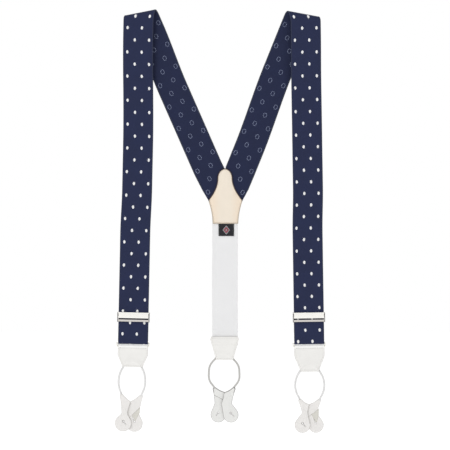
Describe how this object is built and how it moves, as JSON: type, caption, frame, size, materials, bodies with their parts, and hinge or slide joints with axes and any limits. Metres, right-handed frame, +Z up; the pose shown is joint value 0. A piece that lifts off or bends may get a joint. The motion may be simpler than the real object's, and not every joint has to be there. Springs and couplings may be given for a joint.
{
  "type": "suspenders",
  "caption": "Button-on dress braces: spotted webbing straps from a leather back yoke with an elastic tail, lever adjusters, and leather button ears on sliding cords.",
  "frame": {"origin": "centre of the back yoke's outer face, level with the yoke's two widest corners", "axes": "+Z up along the elastic and towards the shoulder folds, +X to the viewer's right, the front faces -Y"},
  "size_m": [0.2673, 0.0152, 0.5363],
  "materials": {
    "webbing": "navy jacquard webbing with small white ovals, matt satin face",
    "cream_leather": "natural cream lining leather, smooth, stitched edge",
    "white_leather": "white leather, fine grain, semi-matt, stitched edge",
    "leather_cord": "rolled white leather cord",
    "elastic": "white ribbed elastic",
    "woven_label": "black woven label with a plain geometric motif",
    "nickel": "polished nickel plate"
  },
  "bodies": {
    "root": {"yoke_outer": "white_leather", "yoke_lining": "cream_leather", "woven_label": "woven_label", "left_strap_rear": "webbing", "right_strap_rear": "webbing", "left_strap_shoulder": "webbing", "right_strap_shoulder": "webbing", "rear_elastic": "elastic"},
    "rear_end": {"rear_tab_front": "white_leather", "rear_tab_back": "white_leather"},
    "rear_runner": {"rear_cord": "leather_cord"},
    "rear_ear_front": {"rear_ear_front": "white_leather"},
    "rear_ear_back": {"rear_ear_back": "white_leather"},
    "left_strap": {"left_strap_front": "webbing"},
    "left_end": {"left_wire_loop": "nickel", "left_strap_loop": "webbing"},
    "left_adjuster": {"left_adjuster_frame": "nickel", "left_adjuster_pin": "nickel"},
    "left_lever": {"left_adjuster_lever": "nickel"},
    "left_tab": {"left_tab": "white_leather"},
    "left_runner": {"left_cord": "leather_cord"},
    "left_ear_front": {"left_ear_front": "white_leather"},
    "left_ear_back": {"left_ear_back": "white_leather"},
    "right_strap": {"right_strap_front": "webbing"},
    "right_end": {"right_wire_loop": "nickel", "right_strap_loop": "webbing"},
    "right_adjuster": {"right_adjuster_frame": "nickel", "right_adjuster_pin": "nickel"},
    "right_lever": {"right_adjuster_lever": "nickel"},
    "right_tab": {"right_tab": "white_leather"},
    "right_runner": {"right_cord": "leather_cord"},
    "right_ear_front": {"right_ear_front": "white_leather"},
    "right_ear_back": {"right_ear_back": "white_leather"}
  },
  "joints": [
    {"name": "rear_elastic_stretch", "type": "slide", "parent": "root", "child": "rear_end", "axis": [0, 0, -1], "range_m": [0, 0.06], "stiffness_N_per_m": 80, "deforming": ["rear_elastic"]},
    {"name": "left_shoulder_fold", "type": "hinge", "parent": "root", "child": "left_strap", "pos_m": [-0.10552, -0.0065, 0.23331], "axis": [-0.9808, 0, -0.1951], "range_deg": [0, 90], "deforming": ["left_strap_shoulder"]},
    {"name": "left_end_slide", "type": "slide", "parent": "left_strap", "child": "left_end", "axis": [0.0209, 0, 0.9998], "range_m": [0, 0.045], "deforming": ["left_strap_loop"]},
    {"name": "left_adjuster_slide", "type": "slide", "parent": "left_end", "child": "left_adjuster", "axis": [0.0209, 0, 0.9998], "range_m": [0, 0.045]},
    {"name": "left_lever_turn", "type": "hinge", "parent": "left_adjuster", "child": "left_lever", "pos_m": [-0.11625, -0.0132, -0.14338], "axis": [-0.9998, 0, 0.0209], "range_deg": [0, 95]},
    {"name": "left_tab_swing", "type": "hinge", "parent": "left_end", "child": "left_tab", "pos_m": [-0.11714, -0.0087, -0.18577], "axis": [0.9998, 0, -0.0209], "range_deg": [-50, 50]},
    {"name": "left_runner_swing", "type": "hinge", "parent": "left_tab", "child": "left_runner", "pos_m": [-0.11777, -0.0087, -0.21583], "axis": [0, 1, 0], "range_deg": [-12, 12]},
    {"name": "left_ear_front_spread", "type": "hinge", "parent": "left_runner", "child": "left_ear_front", "pos_m": [-0.13161, -0.0087, -0.24736], "axis": [0, 1, 0], "range_deg": [-6, 40]},
    {"name": "left_ear_back_spread", "type": "hinge", "parent": "left_runner", "child": "left_ear_back", "pos_m": [-0.10684, -0.0087, -0.24849], "axis": [0, -1, 0], "range_deg": [-6, 40]},
    {"name": "right_shoulder_fold", "type": "hinge", "parent": "root", "child": "right_strap", "pos_m": [0.09694, -0.0065, 0.23152], "axis": [-0.9831, 0, 0.1831], "range_deg": [0, 90], "deforming": ["right_strap_shoulder"]},
    {"name": "right_end_slide", "type": "slide", "parent": "right_strap", "child": "right_end", "axis": [-0.0157, 0, 0.9999], "range_m": [0, 0.045], "deforming": ["right_strap_loop"]},
    {"name": "right_adjuster_slide", "type": "slide", "parent": "right_end", "child": "right_adjuster", "axis": [-0.0157, 0, 0.9999], "range_m": [0, 0.045]},
    {"name": "right_lever_turn", "type": "hinge", "parent": "right_adjuster", "child": "right_lever", "pos_m": [0.10545, -0.0132, -0.14353], "axis": [-0.9999, 0, -0.0157], "range_deg": [0, 95]},
    {"name": "right_tab_swing", "type": "hinge", "parent": "right_end", "child": "right_tab", "pos_m": [0.10612, -0.0087, -0.18592], "axis": [0.9999, 0, 0.0157], "range_deg": [-50, 50]},
    {"name": "right_runner_swing", "type": "hinge", "parent": "right_tab", "child": "right_runner", "pos_m": [0.1067, -0.0087, -0.22301], "axis": [0, 1, 0], "range_deg": [-12, 12]},
    {"name": "right_ear_front_spread", "type": "hinge", "parent": "right_runner", "child": "right_ear_front", "pos_m": [0.09425, -0.0087, -0.25379], "axis": [0, 1, 0], "range_deg": [-6, 40]},
    {"name": "right_ear_back_spread", "type": "hinge", "parent": "right_runner", "child": "right_ear_back", "pos_m": [0.11904, -0.0087, -0.25384], "axis": [0, -1, 0], "range_deg": [-6, 40]},
    {"name": "rear_runner_swing", "type": "hinge", "parent": "rear_end", "child": "rear_runner", "pos_m": [-0.0017, -0.0023, -0.20967], "axis": [0, 1, 0], "range_deg": [-12, 12]},
    {"name": "rear_ear_front_spread", "type": "hinge", "parent": "rear_runner", "child": "rear_ear_front", "pos_m": [0.0107, -0.0023, -0.2393], "axis": [0, -1, 0], "range_deg": [-6, 40]},
    {"name": "rear_ear_back_spread", "type": "hinge", "parent": "rear_runner", "child": "rear_ear_back", "pos_m": [-0.0141, -0.0023, -0.2393], "axis": [0, 1, 0], "range_deg": [-6, 40]}
  ],
  "couplings": [
    {"joint": "left_adjuster_slide", "follows": "left_end_slide", "ratio": 1},
    {"joint": "right_adjuster_slide", "follows": "right_end_slide", "ratio": 1}
  ]
}
